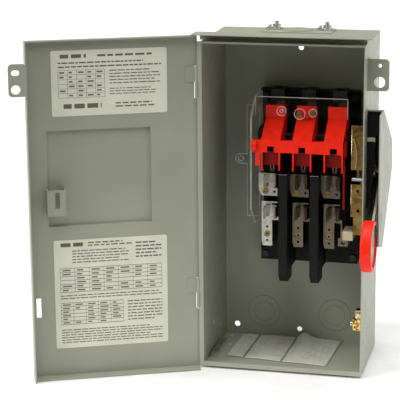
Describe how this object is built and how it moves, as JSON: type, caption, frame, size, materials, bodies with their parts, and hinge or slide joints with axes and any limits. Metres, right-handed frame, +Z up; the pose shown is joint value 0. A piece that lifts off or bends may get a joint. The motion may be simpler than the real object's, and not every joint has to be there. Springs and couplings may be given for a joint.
{
  "type": "fusible disconnect switch",
  "caption": "Wall-mounted sheet-steel disconnect switch box with a hinged door, fuse clips, a red switch rotor, and an operating handle on the right side.",
  "frame": {"origin": "midway between the two centre wall holes, on the wall plane", "axes": "+X to the right as seen from the front, +Y back into the wall, +Z up"},
  "size_m": [0.4525, 0.2558, 0.447],
  "materials": {
    "grey_paint": "satin",
    "label_card": "matte",
    "black_moulding": "satin",
    "red_moulding": "gloss",
    "bright_steel": "bright",
    "yellow_zinc": "yellow passivated",
    "brass_metal": "satin",
    "clear_plastic": "clear",
    "leaflet_stock": "matte",
    "dark_plate": "matte",
    "tinned_metal": "tinned, satin",
    "aged_brass": "aged",
    "black_steel": "black oxide",
    "dull_aluminium": "dull",
    "cream_moulding": "satin",
    "copper_alloy": "tinned"
  },
  "bodies": {
    "box": {"enclosure_shell": "grey_paint", "top_wall": "grey_paint", "bottom_wall": "grey_paint", "knockout_slugs": "grey_paint", "floor_knockout": "grey_paint", "drip_hood": "grey_paint", "hub_closing_plate": "grey_paint", "hub_plate_clamps": "bright_steel", "hub_plate_bolts": "bright_steel", "body_padlock_ear": "grey_paint", "body_hinge_knuckles": "grey_paint", "hinge_pins": "bright_steel", "switch_base": "black_moulding", "base_screws": "black_steel", "phase_barriers": "black_moulding", "line_jaws": "copper_alloy", "line_lugs": "dull_aluminium", "line_lug_screws": "black_steel", "load_jaws": "copper_alloy", "upper_fuse_clips": "tinned_metal", "lower_fuse_clips": "tinned_metal", "load_lugs": "tinned_metal", "load_lug_screws": "aged_brass", "line_shield": "clear_plastic", "shield_screws": "aged_brass", "mechanism_frame": "yellow_zinc", "tie_bar": "bright_steel", "snap_strip": "yellow_zinc", "auxiliary_terminal": "tinned_metal", "ground_lug": "brass_metal", "ground_lug_screws": "bright_steel", "clip_screws": "aged_brass", "auxiliary_block": "cream_moulding", "ground_bar": "bright_steel", "handle_bushing": "bright_steel", "handle_guard": "grey_paint", "handle_label_plate": "dark_plate", "instruction_leaflet": "leaflet_stock"},
    "door": {"door_panel": "grey_paint", "door_hinge_knuckles": "grey_paint", "door_padlock_ear": "grey_paint", "door_interlock_catch": "grey_paint", "door_label_upper": "label_card", "door_label_lower": "label_card"},
    "rotor": {"rotor_fingers": "red_moulding", "rotor_crossbar": "red_moulding", "rotor_blades": "copper_alloy", "rotor_shaft": "black_steel", "rotor_crank": "yellow_zinc", "interlock_arm": "red_moulding"},
    "handle": {"handle_shaft": "bright_steel", "handle_crank": "yellow_zinc", "handle_arm": "grey_paint", "handle_grip": "red_moulding", "grip_rivets": "bright_steel"},
    "link": {"drive_link": "yellow_zinc"},
    "toggle": {"spring_guide": "yellow_zinc", "toggle_spring": "bright_steel"}
  },
  "joints": [
    {"name": "door_hinge", "type": "hinge", "parent": "box", "child": "door", "pos_m": [-0.1105, -0.1375, 0], "axis": [0, 0, 1], "range_deg": [-9, 155.85]},
    {"name": "handle_turn", "type": "hinge", "parent": "box", "child": "handle", "pos_m": [0.1, -0.05, 0.047], "axis": [-1, 0, 0], "range_deg": [0, 65.6]},
    {"name": "rotor_turn", "type": "hinge", "parent": "box", "child": "rotor", "pos_m": [0, -0.062, 0.09], "axis": [-1, 0, 0], "range_deg": [0, 35]},
    {"name": "link_turn", "type": "hinge", "parent": "handle", "child": "link", "pos_m": [0.0875, -0.05585, 0.03653], "axis": [-1, 0, 0], "range_deg": [-65.6, 0]},
    {"name": "toggle_turn", "type": "hinge", "parent": "box", "child": "toggle", "pos_m": [0.096, -0.085, 0.019], "axis": [1, 0, 0], "range_deg": [0, 25.9]}
  ],
  "couplings": [
    {"joint": "rotor_turn", "follows": "handle_turn", "ratio": 0.5335},
    {"joint": "link_turn", "follows": "handle_turn", "ratio": -1},
    {"joint": "toggle_turn", "follows": "handle_turn", "ratio": 0.3942}
  ]
}
